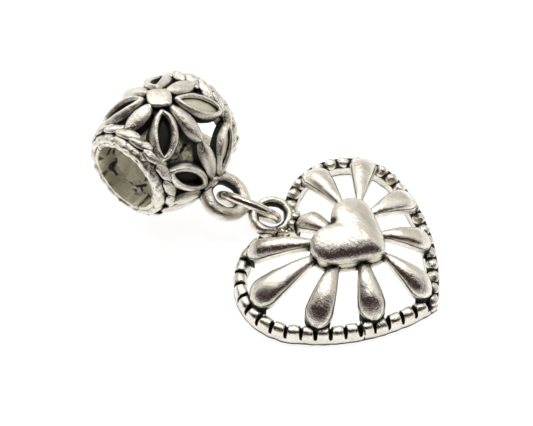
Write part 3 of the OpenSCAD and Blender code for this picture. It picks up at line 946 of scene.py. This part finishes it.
class MetalColours(bpy.types.PropertyGroup):
    silver: tint("Silver", "Colour of the open metal", (0.9, 0.87, 0.79))
    warm: tint("Warm silver", "Colour of its warmer patches", (0.76, 0.71, 0.6))
    # Tarnish in half-closed places, and painted shade where the floor closes them in
    aged_and_shaded: tint("Aged", "Colour of half-closed places", (0.42, 0.39, 0.31))
    lining: tint("Lining", "Colour inside the bead", (0.93, 0.89, 0.69))
    # Patina deep in the crevices, also painted as shade in the cleft, the slots and the bore
    patina_and_shade: tint("Patina", "Colour deep in the crevices", (0.008, 0.007, 0.006))


class MetalWear(bpy.types.PropertyGroup):
    polish: FloatProperty(
        name="Polish", description="Roughness of the open metal", default=0.17, min=0.02, max=0.6, subtype="FACTOR")
    black_from: FloatProperty(
        name="Black from", description="How closed in a place is before it turns black", default=0.36, min=0.1, max=0.9,
        subtype="FACTOR")
    satin: FloatProperty(
        name="Satin", description="How satin the bead is beside the heart", default=0.04, min=0, max=1,
        subtype="FACTOR")
    relief: metres("Relief", "Height of the casting's fine unevenness", 0.0001, precision=6)
    reach: metres("Reach", "How far a crevice's walls may stand apart", 0.0014, precision=5)


class StudioSettings(bpy.types.PropertyGroup):
    floor: tint("Floor", "Colour of the floor", (0.35, 0.35, 0.35))
    floor_glow: FloatProperty(
        name="Floor glow", description="How much the floor is lit from below", default=0.9, min=0, max=2)
    sky: tint("Sky", "Colour of the light overhead", (0.95, 0.94, 0.93))
    sky_behind: tint("Sky behind", "Colour of the light behind and above", (0.52, 0.51, 0.49))
    horizon_behind: tint("Horizon behind", "Colour of the light low behind", (0.34, 0.33, 0.31))
    room: tint("Room", "Colour of the dark room in front", (0.035, 0.022, 0.024))
    dark_from: FloatProperty(
        name="Dark from", description="How far to the front the dark room begins, 0 overhead and 1 level",
        default=-0.18, min=-0.5, max=1)
    sky_strength: FloatProperty(
        name="Sky strength", description="Strength of the light from all round", default=1.42, min=0, max=5)
    distance: metres("Camera distance", "Distance of the camera from the floor point that it looks at", 0.15)
    lens: FloatProperty(
        name="Lens", description="Focal length on a 36 mm sensor", default=143.9, min=20, max=400)


class AddsPieces:
    """An operator that runs its builders with the sizes that they take."""

    def execute(self, context):
        for build in self.builders:
            build(getattr(context.scene, self.sizes))
        return {"FINISHED"}


class PENDANT_OT_heart_rim(AddsPieces, bpy.types.Operator):
    """Adds the heart's rim and the beads on it"""

    bl_idname = "pendant.heart_rim"
    bl_label = "Heart rim"
    sizes, builders = "heart_sizes", (build_rim, build_rim_beads)


class PENDANT_OT_heart_petals(AddsPieces, bpy.types.Operator):
    """Adds the ten petals that rise from the rim to the middle"""

    bl_idname = "pendant.heart_petals"
    bl_label = "Heart petals"
    sizes, builders = "heart_sizes", (build_petals,)


class PENDANT_OT_middle_heart(AddsPieces, bpy.types.Operator):
    """Adds the puffed heart in the middle"""

    bl_idname = "pendant.middle_heart"
    bl_label = "Middle heart"
    sizes, builders = "heart_sizes", (build_middle_heart,)


class PENDANT_OT_heart_loop(AddsPieces, bpy.types.Operator):
    """Adds the loop in the cleft and the grains that seat it"""

    bl_idname = "pendant.heart_loop"
    bl_label = "Heart loop"
    sizes, builders = "heart_sizes", (build_heart_loop,)


class PENDANT_OT_jump_ring(AddsPieces, bpy.types.Operator):
    """Adds the jump ring between the two loops"""

    bl_idname = "pendant.jump_ring"
    bl_label = "Jump ring"
    sizes, builders = "heart_sizes", (build_jump_ring,)


class PENDANT_OT_bead_flowers(AddsPieces, bpy.types.Operator):
    """Adds the three flowers of the bead: hollow petals, solid leaves and blocks, and the lining under them"""

    bl_idname = "pendant.bead_flowers"
    bl_label = "Bead flowers"
    sizes = "bead_sizes"
    builders = build_hollow_petals, build_slot_floors, build_leaves, build_blocks, build_lining


class PENDANT_OT_mouth_rings(AddsPieces, bpy.types.Operator):
    """Adds the bead's two roped mouth rings and their collars"""

    bl_idname = "pendant.mouth_rings"
    bl_label = "Mouth rings"
    sizes, builders = "bead_sizes", (build_mouth_rings,)


class PENDANT_OT_bead_loop(AddsPieces, bpy.types.Operator):
    """Adds the bead's side loop and the swell at its root"""

    bl_idname = "pendant.bead_loop"
    bl_label = "Bead loop"
    sizes, builders = "bead_sizes", (build_bead_loop,)


class PENDANT_OT_metal(bpy.types.Operator):
    """Finds the crevices of all the pieces and gives them their metal"""

    bl_idname = "pendant.metal"
    bl_label = "Metal"

    def execute(self, context):
        colours, wear = context.scene.metal_colours, context.scene.metal_wear
        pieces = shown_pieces()
        paint_crevices_and_shade(pieces, wear.reach / MM)
        for piece in pieces:
            if piece.name in BEAD_PIECES:
                paint_bead_inside(piece, context.scene.bead_sizes)
        heart = antique_silver("antique_silver", colours, wear, 0.0)
        bead = antique_silver("satin_silver", colours, wear, wear.satin)
        wire = bright_wire("bright_wire", colours, wear)
        metals = {"jump_ring_wire": wire, "bead_loop": bead} | dict.fromkeys(BEAD_PIECES, bead)
        for piece in pieces:
            piece.data.materials.clear()
            piece.data.materials.append(metals.get(piece.name, heart))
        return {"FINISHED"}


class PENDANT_OT_studio(bpy.types.Operator):
    """Adds the camera, the pale floor and the soft lights"""

    bl_idname = "pendant.studio"
    bl_label = "Studio"

    def execute(self, context):
        scene, settings = context.scene, context.scene.studio
        scene.view_settings.view_transform = "Standard"
        camera = add_object("camera", bpy.data.cameras.new("camera"))
        camera.data.lens = settings.lens
        camera.data.sensor_width = 36
        camera.data.clip_start = 0.01
        camera.data.clip_end = 10
        camera.location = LOOK_AT * MM + TO_CAMERA * settings.distance
        camera.rotation_euler = TO_CAMERA.to_track_quat("Z", "Y").to_euler()
        scene.camera = camera
        bm = bmesh.new()
        bmesh.ops.create_grid(bm, x_segments=2, y_segments=2, size=3)
        mesh = bpy.data.meshes.new("floor")
        bm.to_mesh(mesh)
        bm.free()
        mesh.materials.append(pale_floor(settings))
        add_object("floor", mesh)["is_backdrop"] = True
        studio_world(scene, settings)
        for name, place, size, power in LAMPS:
            light = bpy.data.lights.new(name, "AREA")
            light.size, light.energy = size, power
            lamp = add_object(name, light)
            lamp.location = place
            lamp.rotation_euler = Vector(place).to_track_quat("Z", "Y").to_euler()
        return {"FINISHED"}


OPERATORS = (
    PENDANT_OT_studio,
    PENDANT_OT_heart_rim,
    PENDANT_OT_heart_petals,
    PENDANT_OT_middle_heart,
    PENDANT_OT_heart_loop,
    PENDANT_OT_jump_ring,
    PENDANT_OT_bead_flowers,
    PENDANT_OT_mouth_rings,
    PENDANT_OT_bead_loop,
    PENDANT_OT_metal,
)


class PENDANT_PT_sidebar(bpy.types.Panel):
    """Lists the pendant's pieces"""

    bl_idname = "PENDANT_PT_sidebar"
    bl_label = "Heart pendant"
    bl_space_type = "VIEW_3D"
    bl_region_type = "UI"
    bl_category = "Pendant"

    def draw(self, context):
        for operator in OPERATORS:
            self.layout.operator(operator.bl_idname)


SETTINGS = {
    "heart_sizes": HeartSizes,
    "bead_sizes": BeadSizes,
    "metal_colours": MetalColours,
    "metal_wear": MetalWear,
    "studio": StudioSettings,
}


def register():
    for group in SETTINGS.values():
        bpy.utils.register_class(group)
    for name, group in SETTINGS.items():
        setattr(bpy.types.Scene, name, PointerProperty(type=group))
    for operator in OPERATORS:
        bpy.utils.register_class(operator)
    bpy.utils.register_class(PENDANT_PT_sidebar)


def unregister():
    bpy.utils.unregister_class(PENDANT_PT_sidebar)
    for operator in reversed(OPERATORS):
        bpy.utils.unregister_class(operator)
    for name in SETTINGS:
        delattr(bpy.types.Scene, name)
    for group in reversed(SETTINGS.values()):
        bpy.utils.unregister_class(group)


def main():
    register()
    bpy.ops.pendant.studio()
    bpy.ops.pendant.heart_rim()
    bpy.ops.pendant.heart_petals()
    bpy.ops.pendant.middle_heart()
    bpy.ops.pendant.heart_loop()
    bpy.ops.pendant.jump_ring()
    bpy.ops.pendant.bead_flowers()
    bpy.ops.pendant.mouth_rings()
    bpy.ops.pendant.bead_loop()
    bpy.ops.pendant.metal()


if __name__ == "__main__":
    main()
